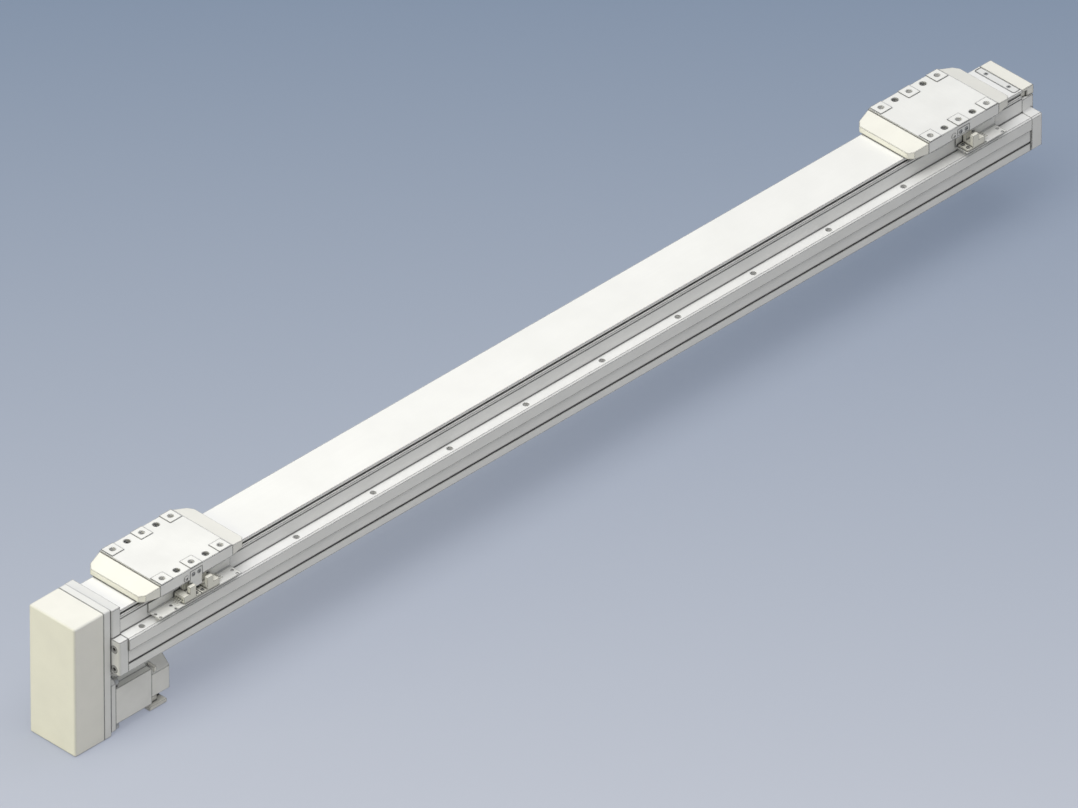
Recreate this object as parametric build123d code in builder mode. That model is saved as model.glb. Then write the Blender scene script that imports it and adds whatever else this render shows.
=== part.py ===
from build123d import *
import os
from math import cos, pi, radians, sin, tan

# Ball screw linear axis, side-mounted servo motor below, two carriages that move in opposite
# directions on a right-hand and left-hand screw. Millimetres. X runs along the axis from the
# motor end to the far end, Z is up. The origin is the centre of the mounting hole pattern on
# the underside of the base rail.

os.makedirs("parts", exist_ok=True)

# Base rail
hole_pitch = 100.0
hole_count = 12
hole_row_spacing = 72.0
mounting_hole_radius = 2.75
motor_end_margin = 22.8
far_end_margin = 65.2
rail_half_width = 41.5
band_half_width = 43.0
band_bottom = 24.1
ledge_height = 37.5
ledge_chamfer = 1.5
wall_outer = 29.7
wall_thickness = 3.2
wall_height = 55.6
wall_step = 0.5
wall_step_drop = 2.7
floor_height = 9.0
channel_fillet = 2.0
side_groove_bottom = 8.7
side_groove_width = 1.9
side_groove_depth = 1.2

# Clearances between pieces
running_clearance = 0.3
fit_clearance = 0.02
screw_hole_clearance = 0.25
screw_hole_excess = 1.0
edge_break = 0.5
cover_edge_break = 0.3

# Screw and its bearings
screw_height = 39.7
screw_radius = 8.0
bearing_journal_radius = 6.0
pulley_journal_radius = 5.0
support_journal_radius = 5.0
fixed_bearing_radius = 16.0
fixed_bearing_width = 10.0
fixed_bearing_count = 2
support_bearing_radius = 13.0
support_bearing_width = 8.0
ring_thickness = 2.6
shield_thickness = 0.8
bearing_boss_radius = 18.6
bearing_boss_length = 14.0
bearing_shoulder = 2.4
lock_nut_radius = 11.0
lock_nut_length = 7.5
lock_nut_slot = 3.0
lock_nut_gap = 1.0
retainer_radius = 22.5
retainer_thickness = 4.0

# Guides
guide_offset = 14.5
guide_width = 9.0
guide_height = 6.5
guide_groove_height = 3.9
guide_groove_radius = 1.0
guide_chamfer = 0.4
guide_end_gap = 2.5
guide_block_width = 20.0
guide_block_length = 30.0
guide_block_height = 8.0
guide_assembly_height = 10.0

# Carriages
park_length_left = 90.0
park_length_right = 88.7
table_length = 93.4
table_half_width = 40.0
table_bottom = 61.9
table_top = 74.5
pad_size = 15.0
pad_height = 0.5
pad_spacing = 37.5
table_hole_row_spacing = 65.0
table_hole_radius = 2.5
table_hole_mouth_radius = 3.0
table_hole_depth = 9.5
table_screw_spacing = 37.5
table_screw_radius = 2.0
table_screw_head_radius = 3.05
table_screw_head_height = 4.0
table_screw_head_depth = 6.0
table_screw_thread = 3.8
end_cap_length = 20.6
end_cap_drop = 1.0
end_cap_front_height = 6.2
end_cap_side_taper = 3.5
end_cap_corner = 5.0
end_cap_rounding = 2.0
end_cap_shell = 2.5
saddle_length = 80.0
saddle_half_width = 24.5
arm_reach = 31.4
riser_reach = 36.9
riser_bottom = 58.1

# Ball nut
nut_radius = 14.0
nut_length = 42.0
nut_flange_radius = 23.0
nut_flange_flat = 17.5
nut_flange_thickness = 9.0
nut_screw_circle = 18.5
nut_screw_radius = 2.0
nut_screw_head_radius = 3.5
nut_screw_head_height = 4.0
nut_screw_reach = 9.0

# Top cover and its clamp
cover_half_width = 28.15
cover_bottom = 58.6
cover_top = 61.4
cover_clamp_width = 9.0
cover_clamp_half_length = 26.0
cover_clamp_corner = 2.0
cover_clamp_head_depth = 0.9
cover_clamp_head_radius = 1.8
cover_clamp_screw_length = 9.0
cover_screw_offset = 15.0
cover_screw_radius = 1.5
cover_screw_head_radius = 2.6
cover_screw_head_height = 1.6

# Motor end block
end_block_thickness = 11.3
end_block_top = 68.4
end_block_upper_half_width = 31.4
end_block_corner = 2.0
end_screw_offset = 34.3
end_screw_low = 5.1
end_screw_high = 27.3
end_screw_radius = 2.0
end_screw_head_radius = 3.5
end_screw_head_height = 4.0
end_screw_length = 20.0

# Far end
far_plate_thickness = 14.5
far_plate_chamfer = 1.6
far_block_top = 51.5
far_block_fillet = 2.5
far_cap_overhang = 2.0
far_cap_start = 1.4
far_cap_top = 61.3
far_cap_notch_length = 6.6
far_cap_notch_depth = 2.2
support_housing_length = 16.0
screw_end_reach = 2.0
screw_end_room = 3.0
screw_shoulder_gap = 1.0
screw_bore_gap = 1.0

# Belt drive
motor_drop = 82.5
tooth_count = 28
tooth_pitch = 5.0
tooth_depth = 1.9
groove_radius = 1.6
belt_tooth_radius = 1.4
belt_pitch_line_offset = 0.48
belt_width = 15.0
belt_thickness = 1.9
pulley_toothed_width = 16.6
pulley_flange_thickness = 1.5
pulley_flange_height = 1.8
pulley_hub_radius = 15.0
pulley_hub_length = 6.0
pulley_gap = 1.0
belt_plate_thickness = 9.2
drive_half_width = 30.0
drive_rise = 30.2
drive_fall = 31.3
belt_cover_depth = 37.5
belt_cover_wall = 2.5
belt_cover_edge_radius = 2.0
cover_lug_size = 8.0
cover_lug_length = 11.0
cover_lug_inset = 1.0
plate_screw_offset = 24.5
plate_screw_low = 9.0
plate_screw_high = 61.5

# Motor
motor_half_width = 30.0
motor_flange_thickness = 5.9
motor_flange_corner = 3.8
motor_pilot_radius = 25.0
motor_pilot_length = 3.0
motor_body_length = 46.2
motor_flat_half_width = 19.9
motor_notch_depth = 6.8
motor_shaft_radius = 7.0
motor_shaft_length = 30.0
motor_shaft_seat = 8.0
motor_screw_circle = 35.0
motor_screw_radius = 2.5
motor_screw_head_radius = 4.2
motor_screw_head_height = 5.0
motor_screw_length = 12.0
encoder_length = 24.2
encoder_rear_chamfer = 1.5
hook_stand_off = 1.5
hook_top = 21.2
hook_drop = 5.0
hook_thickness = 1.6
hook_shift = 1.8
hook_width = 3.0
plug_drop = 26.2
plug_reach = 27.0
plug_length = 22.0
neck_reach = 22.0
neck_shift = 5.0
neck_length = 9.0

# Sensors
slot_line = -38.4
sensor_slot_width = 5.2
sensor_prong_width = 4.0
sensor_prong_length = 7.5
sensor_flange_length = 7.0
sensor_flange_thickness = 1.9
sensor_hole_spacing = 6.8
sensor_screw_radius = 1.0
sensor_screw_length = 3.9
sensor_screw_head_radius = 1.7
sensor_screw_head_height = 0.9
sensor_web_top = 49.3
sensor_top = 57.6
sensor_body_length = 7.8
sensor_body_top = 50.5
sensor_pin_count = 4
sensor_pin_pitch = 2.54
sensor_pin_length = 6.6
sensor_pin_size = 0.8
sensor_pair_gap = 0.7
left_pair_shift = 1.6
right_sensor_shift = 0.3
bracket_top = 43.3
bracket_thickness = 1.0
bracket_reach = 46.0
bracket_bend_radius = 1.0
bracket_hole_radius = 1.5
bracket_hole_row = 40.8
left_bracket_before = 53.3
left_bracket_after = 52.0
left_bracket_holes = (-50.9, -31.1, 48.1)
right_bracket_before = 1.3
right_bracket_after = 51.2
right_bracket_holes = (24.0, 47.5)

# Sensor dogs
dog_thickness = 1.3
dog_width = 15.0
dog_top = 70.5
left_dog_bottom = 51.0
right_dog_bottom = 63.5
dog_shift = -0.5
dog_screw_spacing = 7.5
dog_screw_height = 66.5
dog_screw_radius = 1.25
dog_screw_depth = 5.0

# Bumpers
bumper_radius = 4.5
bumper_length = 10.0
bumper_offset = 20.0
bumper_height = 24.0

# Places that follow from the sizes above
pattern_half_length = hole_pitch * (hole_count - 1) / 2
rail_start = -(pattern_half_length + motor_end_margin)
rail_end = pattern_half_length + far_end_margin
rail_length = rail_end - rail_start
wall_inner = wall_outer - wall_thickness
wall_step_height = wall_height - wall_step_drop
block_front = rail_start - end_block_thickness
plate_front = block_front - belt_plate_thickness
drive_front = plate_front - belt_cover_depth
motor_height = screw_height - motor_drop
drive_top = screw_height + drive_rise
drive_bottom = motor_height - drive_fall
drive_height = drive_top - drive_bottom
motor_front = block_front
motor_body_start = motor_front + motor_flange_thickness
encoder_start = motor_body_start + motor_body_length
octagon_half_flat = motor_half_width * tan(radians(22.5))
boss_end = rail_start + bearing_boss_length
fixed_bearing_end = boss_end - bearing_shoulder
fixed_bearing_start = fixed_bearing_end - fixed_bearing_count * fixed_bearing_width
support_start = rail_end - support_housing_length
support_bearing_start = rail_end - support_bearing_width
left_centre = rail_start + park_length_left
right_centre = rail_end - park_length_right
pulley_pitch_radius = tooth_count * tooth_pitch / (2 * pi)
pulley_tip_radius = pulley_pitch_radius - belt_pitch_line_offset
belt_inner_radius = pulley_tip_radius + running_clearance
belt_outer_radius = belt_inner_radius + belt_thickness
pulley_start = plate_front - pulley_toothed_width - 2 * pulley_flange_thickness - pulley_gap
pulley_teeth_start = pulley_start + pulley_flange_thickness
pulley_end = pulley_teeth_start + pulley_toothed_width + pulley_flange_thickness
guide_start = boss_end + guide_end_gap
guide_end = support_start - guide_end_gap
guide_block_spacing = saddle_length - guide_block_length
block_bottom = floor_height + guide_assembly_height - guide_block_height
saddle_bottom = floor_height + guide_assembly_height
web_bottom = wall_height + running_clearance
web_top = cover_bottom - running_clearance
riser_inner = cover_half_width + running_clearance
far_cap_front = rail_end + far_cap_start
far_cap_end = rail_end + far_plate_thickness + far_cap_overhang


def save(piece, name):
    """Label a finished piece and write its STEP file."""
    piece.part.label = name
    export_step(piece.part, f"parts/{name}.step")


def mirrored(points):
    """The whole symmetric outline of a half outline that is given on the +Y side."""
    return points + [(-across, up) for across, up in reversed(points) if across > 0]


def hex_socket_screw(plane, places, shank_radius, shank_length, head_radius, head_height):
    """Cap screws on a plane whose normal points out of the screwed face; heads start there."""
    with BuildPart() as screws:
        with BuildSketch(plane):
            with Locations(*places):
                Circle(head_radius)
        extrude(amount=head_height)
        with BuildSketch(plane):
            with Locations(*places):
                Circle(shank_radius)
        extrude(amount=-shank_length)
        with BuildSketch(plane.offset(head_height)):
            with Locations(*places):
                RegularPolygon(head_radius / 2, 6, major_radius=False)
        extrude(amount=-head_height / 2, mode=Mode.SUBTRACT)
    return screws


# Base rail: an aluminium extrusion, a wide foot with a ledge each side and a channel between walls
with BuildPart() as base_rail:
    with BuildSketch(Plane.YZ.offset(rail_start)):
        rail_outline = mirrored([
            (0, 0),
            (rail_half_width, 0),
            (rail_half_width, band_bottom),
            (band_half_width, band_bottom),
            (band_half_width, ledge_height - ledge_chamfer),
            (band_half_width - ledge_chamfer, ledge_height),
            (wall_outer, ledge_height),
            (wall_outer, wall_step_height),
            (wall_outer - wall_step, wall_step_height),
            (wall_outer - wall_step, wall_height),
            (wall_inner, wall_height),
            (wall_inner, floor_height),
            (0, floor_height),
        ])
        with BuildLine():
            Polyline(*rail_outline, close=True)
        make_face()
    extrude(amount=rail_length)
    floor_corners = base_rail.edges().filter_by(Axis.X).filter_by_position(
        Axis.Z, floor_height - 0.1, floor_height + 0.1
    )
    fillet(floor_corners, channel_fillet)
    with BuildSketch(Plane.YZ.offset(rail_start)):
        for side in (-1, 1):
            with Locations((side * rail_half_width, side_groove_bottom + side_groove_width / 2)):
                Rectangle(2 * side_groove_depth, side_groove_width)
    extrude(amount=rail_length, mode=Mode.SUBTRACT)
    with Locations((0, 0, ledge_height)):
        with GridLocations(hole_pitch, hole_row_spacing, hole_count, 2):
            Hole(mounting_hole_radius, depth=ledge_height)
    end_screw_places = [
        (side * end_screw_offset, height)
        for side in (-1, 1)
        for height in (end_screw_low, end_screw_high)
    ]
    end_screw_reach = end_screw_length - (end_block_thickness - end_screw_head_height)
    with BuildSketch(Plane.YZ.offset(rail_start)):
        with Locations(*end_screw_places):
            Circle(end_screw_radius + fit_clearance)
    extrude(amount=end_screw_reach + screw_hole_excess, mode=Mode.SUBTRACT)
    with BuildSketch(Plane.YZ.offset(rail_end)):
        with Locations(*end_screw_places):
            Circle(end_screw_radius + fit_clearance)
    extrude(amount=-end_screw_reach - screw_hole_excess, mode=Mode.SUBTRACT)
save(base_rail, "base_rail")


# Guide rails: two ground steel rails on the channel floor, with a raceway groove each side
def make_guide_rail(name, offset):
    """One guide rail with its ball grooves."""
    with BuildPart() as guide_rail:
        with BuildSketch(Plane.YZ.offset(guide_start)):
            with Locations((offset, floor_height)):
                Rectangle(guide_width, guide_height, align=(Align.CENTER, Align.MIN))
            for side in (-1, 1):
                edge = offset + side * guide_width / 2
                with Locations((edge, floor_height + guide_groove_height)):
                    Circle(guide_groove_radius, mode=Mode.SUBTRACT)
        extrude(amount=guide_end - guide_start)
        rail_top = guide_rail.faces().sort_by(Axis.Z)[-1]
        chamfer(rail_top.edges().filter_by(Axis.X), guide_chamfer)
    save(guide_rail, name)


make_guide_rail("guide_rail_left", guide_offset)
make_guide_rail("guide_rail_right", -guide_offset)

# Motor end block: carries the fixed bearings, the belt plate and the end of the base rail
with BuildPart() as motor_end_block:
    with BuildSketch(Plane.YZ.offset(block_front)):
        end_block_outline = mirrored([
            (0, 0),
            (rail_half_width, 0),
            (rail_half_width, ledge_height),
            (end_block_upper_half_width, ledge_height),
            (end_block_upper_half_width, end_block_top),
            (0, end_block_top),
        ])
        with BuildLine():
            Polyline(*end_block_outline, close=True)
        make_face()
    extrude(amount=end_block_thickness)
    upright_edges = motor_end_block.edges().filter_by(Axis.Z)
    fillet(upright_edges.group_by(Axis.X)[0], end_block_corner)
    block_top = motor_end_block.faces().sort_by(Axis.Z)[-1]
    chamfer(block_top.edges().sort_by(Axis.X)[0], edge_break)
    block_back = motor_end_block.faces().sort_by(Axis.X)[-1]
    chamfer(block_back.edges().filter_by_position(Axis.Z, ledge_height, end_block_top), edge_break)
    with BuildSketch(Plane.YZ.offset(rail_start)):
        with Locations((0, screw_height)):
            Circle(bearing_boss_radius)
    extrude(amount=bearing_boss_length)
    with BuildSketch(Plane.YZ.offset(block_front)):
        with Locations((0, screw_height)):
            Circle(fixed_bearing_radius + fit_clearance)
    extrude(amount=fixed_bearing_end - block_front, mode=Mode.SUBTRACT)
    with BuildSketch(Plane.YZ.offset(boss_end)):
        with Locations((0, screw_height)):
            Circle(fixed_bearing_radius - ring_thickness)
    extrude(amount=-bearing_shoulder, mode=Mode.SUBTRACT)
    with BuildSketch(Plane.YZ.offset(block_front)):
        with Locations(*end_screw_places):
            Circle(end_screw_head_radius + screw_hole_clearance)
    extrude(amount=end_screw_head_height, mode=Mode.SUBTRACT)
    with BuildSketch(Plane.YZ.offset(block_front)):
        with Locations(*end_screw_places):
            Circle(end_screw_radius + screw_hole_clearance)
    extrude(amount=end_block_thickness, mode=Mode.SUBTRACT)
    plate_screw_places = [
        (side * plate_screw_offset, height)
        for side in (-1, 1)
        for height in (plate_screw_low, plate_screw_high)
    ]
    with BuildSketch(Plane.YZ.offset(block_front)):
        with Locations(*plate_screw_places):
            Circle(end_screw_radius + fit_clearance)
    extrude(amount=end_block_thickness, mode=Mode.SUBTRACT)
save(motor_end_block, "motor_end_block")

end_block_screws = hex_socket_screw(
    Plane(
        origin=(block_front + end_screw_head_height, 0, 0), x_dir=(0, 1, 0), z_dir=(-1, 0, 0)
    ),
    [(place[0], -place[1]) for place in end_screw_places],
    end_screw_radius,
    end_screw_length,
    end_screw_head_radius,
    end_screw_head_height,
)
save(end_block_screws, "end_block_screws")


# Bearings: rings with running clearance at their shields, so the inner ones turn with the screw
def make_bearing(name, starts, outer_radius, bore_radius, width):
    """Outer and inner rings of a row of shielded ball bearings on the screw axis."""
    with BuildPart() as outer_ring:
        for start in starts:
            with BuildSketch(Plane.YZ.offset(start)):
                with Locations((0, screw_height)):
                    Circle(outer_radius)
                    Circle(outer_radius - ring_thickness, mode=Mode.SUBTRACT)
            extrude(amount=width)
            for shield_start in (start, start + width - shield_thickness):
                with BuildSketch(Plane.YZ.offset(shield_start)):
                    with Locations((0, screw_height)):
                        Circle(outer_radius - ring_thickness / 2)
                        Circle(bore_radius + ring_thickness + running_clearance, mode=Mode.SUBTRACT)
                extrude(amount=shield_thickness)
    save(outer_ring, f"{name}_outer_ring")
    with BuildPart() as inner_ring:
        for start in starts:
            with BuildSketch(Plane.YZ.offset(start)):
                with Locations((0, screw_height)):
                    Circle(bore_radius + ring_thickness)
                    Circle(bore_radius + fit_clearance, mode=Mode.SUBTRACT)
            extrude(amount=width)
    save(inner_ring, f"{name}_inner_ring")


make_bearing(
    "fixed_bearing",
    [fixed_bearing_start + index * fixed_bearing_width for index in range(fixed_bearing_count)],
    fixed_bearing_radius,
    bearing_journal_radius,
    fixed_bearing_width,
)
make_bearing(
    "support_bearing",
    [support_bearing_start],
    support_bearing_radius,
    support_journal_radius,
    support_bearing_width,
)

# Bearing retainer: a ring in the belt plate that holds the outer rings
with BuildPart() as bearing_retainer:
    with BuildSketch(Plane.YZ.offset(block_front)):
        with Locations((0, screw_height)):
            Circle(retainer_radius)
            Circle(lock_nut_radius + lock_nut_gap, mode=Mode.SUBTRACT)
    extrude(amount=-retainer_thickness)
    with BuildSketch(Plane.YZ.offset(block_front)):
        with Locations((0, screw_height)):
            Circle(fixed_bearing_radius)
            Circle(fixed_bearing_radius - ring_thickness, mode=Mode.SUBTRACT)
    extrude(amount=fixed_bearing_start - block_front)
save(bearing_retainer, "bearing_retainer")

# Ball screw: the threaded length between two journals, drawn at its mean thread radius
with BuildPart() as ball_screw:
    with BuildSketch(Plane.XZ):
        screw_end = support_bearing_start - screw_shoulder_gap
        journal_end = rail_end + screw_end_reach
        shaft_steps = [
            (pulley_start, 0),
            (pulley_start, pulley_journal_radius),
            (fixed_bearing_start - lock_nut_length, pulley_journal_radius),
            (fixed_bearing_start - lock_nut_length, bearing_journal_radius),
            (fixed_bearing_end, bearing_journal_radius),
            (fixed_bearing_end, screw_radius),
            (screw_end, screw_radius),
            (screw_end, support_journal_radius),
            (journal_end, support_journal_radius),
            (journal_end, 0),
        ]
        with BuildLine():
            Polyline(*[(x, screw_height + radius) for x, radius in shaft_steps], close=True)
        make_face()
    revolve(axis=Axis((0, 0, screw_height), (1, 0, 0)))
save(ball_screw, "ball_screw")

# Lock nut: a slotted round nut that clamps the fixed bearing's inner rings
with BuildPart() as lock_nut:
    with BuildSketch(Plane.YZ.offset(fixed_bearing_start)):
        with Locations((0, screw_height)):
            Circle(lock_nut_radius)
            Circle(bearing_journal_radius + fit_clearance, mode=Mode.SUBTRACT)
            with PolarLocations(lock_nut_radius, 4):
                Rectangle(lock_nut_slot, lock_nut_slot, mode=Mode.SUBTRACT)
    extrude(amount=-lock_nut_length)
save(lock_nut, "lock_nut")


# Belt drive: two toothed pulleys of one size, so the motor turns once for each screw turn
def make_pulley(name, height, bore_radius):
    """A flanged pulley with round-bottomed teeth and a clamping hub."""
    with BuildPart() as pulley:
        with BuildSketch(Plane.YZ.offset(pulley_teeth_start)):
            with Locations((0, height)):
                Circle(pulley_tip_radius)
                with PolarLocations(pulley_tip_radius, tooth_count):
                    Circle(groove_radius, mode=Mode.SUBTRACT)
        extrude(amount=pulley_toothed_width)
        for flange_start in (pulley_start, pulley_end - pulley_flange_thickness):
            with BuildSketch(Plane.YZ.offset(flange_start)):
                with Locations((0, height)):
                    Circle(pulley_tip_radius + pulley_flange_height)
            extrude(amount=pulley_flange_thickness)
        with BuildSketch(Plane.YZ.offset(pulley_start)):
            with Locations((0, height)):
                Circle(pulley_hub_radius)
        extrude(amount=-pulley_hub_length)
        with BuildSketch(Plane.YZ.offset(pulley_start - pulley_hub_length)):
            with Locations((0, height)):
                Circle(bore_radius + fit_clearance)
        extrude(amount=pulley_end - pulley_start + pulley_hub_length, mode=Mode.SUBTRACT)
    save(pulley, name)


make_pulley("screw_pulley", screw_height, pulley_journal_radius)
make_pulley("motor_pulley", motor_height, motor_shaft_radius)

# Timing belt: a closed band round both pulleys, toothed on the two straight spans
with BuildPart() as timing_belt:
    belt_start = pulley_teeth_start + (pulley_toothed_width - belt_width) / 2
    belt_middle = (screw_height + motor_height) / 2
    belt_plane = Plane(origin=(belt_start, 0, belt_middle), x_dir=(0, 0, 1), z_dir=(1, 0, 0))
    with BuildSketch(belt_plane):
        SlotCenterToCenter(motor_drop, 2 * belt_outer_radius)
        SlotCenterToCenter(motor_drop, 2 * belt_inner_radius, mode=Mode.SUBTRACT)
        span_teeth = int((motor_drop - belt_inner_radius) / tooth_pitch)
        for side in (-1, 1):
            with Locations((0, side * belt_inner_radius)):
                with GridLocations(tooth_pitch, 1, span_teeth, 1):
                    Circle(belt_tooth_radius)
            with Locations((0, side * (belt_inner_radius + belt_thickness + tooth_depth))):
                Rectangle(motor_drop, 2 * tooth_depth, mode=Mode.SUBTRACT)
    extrude(amount=belt_width)
save(timing_belt, "timing_belt")

# Belt plate: joins the motor end block, the motor and the belt cover
with BuildPart() as belt_plate:
    with BuildSketch(Plane.YZ.offset(plate_front)):
        with Locations((0, drive_top - drive_height / 2)):
            Rectangle(2 * drive_half_width, drive_height)
        with Locations((0, screw_height)):
            Circle(retainer_radius + fit_clearance, mode=Mode.SUBTRACT)
        with Locations((0, motor_height)):
            Circle(motor_pilot_radius + fit_clearance, mode=Mode.SUBTRACT)
    extrude(amount=belt_plate_thickness)
    plate_rim = belt_plate.edges().filter_by(Axis.X).group_by(Axis.Z)
    fillet(plate_rim[0] + plate_rim[-1], belt_cover_edge_radius)
    outer_wires = [face.outer_wire() for face in belt_plate.faces().filter_by(Axis.X)]
    chamfer([edge for wire in outer_wires for edge in wire.edges()], edge_break)
    lug_low = drive_bottom + belt_cover_wall + fit_clearance
    lug_outer = drive_half_width - belt_cover_wall - cover_lug_inset
    with BuildSketch(Plane.YZ.offset(plate_front)):
        for side in (-1, 1):
            with Locations((side * (lug_outer - cover_lug_size / 2), lug_low + cover_lug_size / 2)):
                Rectangle(cover_lug_size, cover_lug_size)
    extrude(amount=-cover_lug_length)
    with BuildSketch(Plane.YZ.offset(plate_front)):
        with Locations(*plate_screw_places):
            Circle(end_screw_head_radius + screw_hole_clearance)
    extrude(amount=end_screw_head_height, mode=Mode.SUBTRACT)
    with BuildSketch(Plane.YZ.offset(plate_front)):
        with Locations(*plate_screw_places):
            Circle(end_screw_radius + screw_hole_clearance)
    extrude(amount=belt_plate_thickness, mode=Mode.SUBTRACT)
    motor_screw_places = [
        (
            motor_screw_circle * cos(radians(angle)),
            motor_height + motor_screw_circle * sin(radians(angle)),
        )
        for angle in (45, 135, 225, 315)
    ]
    with BuildSketch(Plane.YZ.offset(block_front)):
        with Locations(*motor_screw_places):
            Circle(motor_screw_radius + fit_clearance)
    extrude(amount=screw_hole_excess - belt_plate_thickness, mode=Mode.SUBTRACT)
    lug_screw_x = plate_front - cover_lug_length / 2
    lug_screw_places = [
        (lug_screw_x, side * (lug_outer - cover_lug_size / 2)) for side in (-1, 1)
    ]
    with BuildSketch(Plane.XY.offset(lug_low)):
        with Locations(*lug_screw_places):
            Circle(cover_screw_radius + fit_clearance)
    extrude(amount=cover_lug_size - screw_hole_excess, mode=Mode.SUBTRACT)
save(belt_plate, "belt_plate")

plate_screws = hex_socket_screw(
    Plane(
        origin=(plate_front + end_screw_head_height, 0, 0), x_dir=(0, 1, 0), z_dir=(-1, 0, 0)
    ),
    [(place[0], -place[1]) for place in plate_screw_places],
    end_screw_radius,
    belt_plate_thickness + end_block_thickness - end_screw_head_height - screw_hole_excess,
    end_screw_head_radius,
    end_screw_head_height,
)
save(plate_screws, "plate_screws")

# Belt cover: a deep drawn lid with rounded edges, open towards the belt plate
with BuildPart() as belt_cover:
    with BuildSketch(Plane.YZ.offset(drive_front)):
        with Locations((0, drive_top - drive_height / 2)):
            Rectangle(2 * drive_half_width, drive_height)
    extrude(amount=belt_cover_depth)
    fillet(belt_cover.edges().filter_by(Axis.X), belt_cover_edge_radius)
    fillet(belt_cover.faces().sort_by(Axis.X)[0].edges(), belt_cover_edge_radius)
    offset(amount=-belt_cover_wall, openings=belt_cover.faces().sort_by(Axis.X)[-1])
    with BuildSketch(Plane.XY.offset(drive_bottom)):
        with Locations(*lug_screw_places):
            Circle(cover_screw_radius + screw_hole_clearance)
    extrude(amount=belt_cover_wall, mode=Mode.SUBTRACT)
    with BuildSketch(Plane.XY.offset(drive_bottom)):
        with Locations(*lug_screw_places):
            Circle(cover_screw_head_radius + screw_hole_clearance)
    extrude(amount=cover_screw_head_height, mode=Mode.SUBTRACT)
save(belt_cover, "belt_cover")

belt_cover_screws = hex_socket_screw(
    Plane(
        origin=(0, 0, drive_bottom + cover_screw_head_height), x_dir=(1, 0, 0), z_dir=(0, 0, -1)
    ),
    lug_screw_places,
    cover_screw_radius,
    cover_lug_size - 2 * screw_hole_excess,
    cover_screw_head_radius,
    cover_screw_head_height,
)
save(belt_cover_screws, "belt_cover_screws")

# Motor: flange with a pilot, finned-corner housing, octagonal encoder cover and two connectors
with BuildPart() as motor_flange:
    with BuildSketch(Plane.YZ.offset(motor_front)):
        with Locations((0, motor_height)):
            Rectangle(2 * motor_half_width, 2 * motor_half_width)
    extrude(amount=motor_flange_thickness)
    chamfer(motor_flange.edges().filter_by(Axis.X), motor_flange_corner)
    with BuildSketch(Plane.YZ.offset(motor_front)):
        with Locations((0, motor_height)):
            Circle(motor_pilot_radius)
    extrude(amount=-motor_pilot_length)
    with BuildSketch(Plane.YZ.offset(motor_front - motor_pilot_length)):
        with Locations((0, motor_height)):
            Circle(motor_shaft_radius + running_clearance)
    extrude(amount=motor_pilot_length + motor_flange_thickness, mode=Mode.SUBTRACT)
    with BuildSketch(Plane.YZ.offset(motor_front)):
        with Locations(*motor_screw_places):
            Circle(motor_screw_radius + screw_hole_clearance)
    extrude(amount=motor_flange_thickness, mode=Mode.SUBTRACT)
save(motor_flange, "motor_flange")

with BuildPart() as motor_housing:
    notch_inner = motor_half_width - motor_notch_depth
    upper_half = [
        (motor_half_width, motor_flat_half_width),
        (notch_inner, motor_flat_half_width),
        (motor_flat_half_width, notch_inner),
        (motor_flat_half_width, motor_half_width),
    ]
    lower_half = [(across, -up) for across, up in reversed(upper_half)]
    housing_outline = [
        (across, motor_height + up) for across, up in mirrored(lower_half + upper_half)
    ]
    with BuildSketch(Plane.YZ.offset(motor_body_start)):
        with BuildLine():
            Polyline(*housing_outline, close=True)
        make_face()
    extrude(amount=motor_body_length)
    with BuildSketch(Plane.YZ.offset(motor_body_start)):
        with Locations((0, motor_height)):
            Circle(motor_shaft_radius + running_clearance)
    extrude(amount=motor_shaft_seat + running_clearance, mode=Mode.SUBTRACT)
save(motor_housing, "motor_housing")

with BuildPart() as encoder_cover:
    with BuildSketch(Plane.YZ.offset(encoder_start)):
        with Locations((0, motor_height)):
            RegularPolygon(motor_half_width, 8, major_radius=False, rotation=22.5)
    extrude(amount=encoder_length)
    chamfer(encoder_cover.faces().sort_by(Axis.X)[-1].edges(), encoder_rear_chamfer)
save(encoder_cover, "encoder_cover")

motor_screws = hex_socket_screw(
    Plane(origin=(motor_body_start, 0, 0), x_dir=(0, 1, 0), z_dir=(1, 0, 0)),
    motor_screw_places,
    motor_screw_radius,
    motor_screw_length,
    motor_screw_head_radius,
    motor_screw_head_height,
)
save(motor_screws, "motor_screws")

with BuildPart() as motor_shaft:
    with BuildSketch(Plane.YZ.offset(motor_front - motor_shaft_length)):
        with Locations((0, motor_height)):
            Circle(motor_shaft_radius)
    extrude(amount=motor_shaft_length + motor_flange_thickness + motor_shaft_seat)
    chamfer(motor_shaft.faces().sort_by(Axis.X)[0].edges(), edge_break)
save(motor_shaft, "motor_shaft")

# Top cover: a flat aluminium strip held at both ends, with slots beside it for the carriages
with BuildPart() as top_cover:
    with BuildSketch(Plane.YZ.offset(rail_start)):
        with Locations((0, cover_bottom)):
            Rectangle(
                2 * cover_half_width, cover_top - cover_bottom, align=(Align.CENTER, Align.MIN)
            )
    extrude(amount=far_cap_front - rail_start)
    chamfer(top_cover.faces().sort_by(Axis.Z)[-1].edges().filter_by(Axis.X), cover_edge_break)
    clamp_centre = far_cap_front - cover_clamp_width / 2
    with BuildSketch(Plane.XY.offset(cover_top)):
        with Locations((clamp_centre, 0)):
            RectangleRounded(
                cover_clamp_width, 2 * cover_clamp_half_length, cover_clamp_corner
            )
    extrude(amount=-(cover_top - cover_bottom) / 2, mode=Mode.SUBTRACT)
    with BuildSketch(Plane.XY.offset(cover_bottom)):
        with Locations((clamp_centre, -cover_screw_offset), (clamp_centre, cover_screw_offset)):
            Circle(cover_screw_radius + screw_hole_clearance)
    extrude(amount=cover_top - cover_bottom, mode=Mode.SUBTRACT)
save(top_cover, "top_cover")

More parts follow.
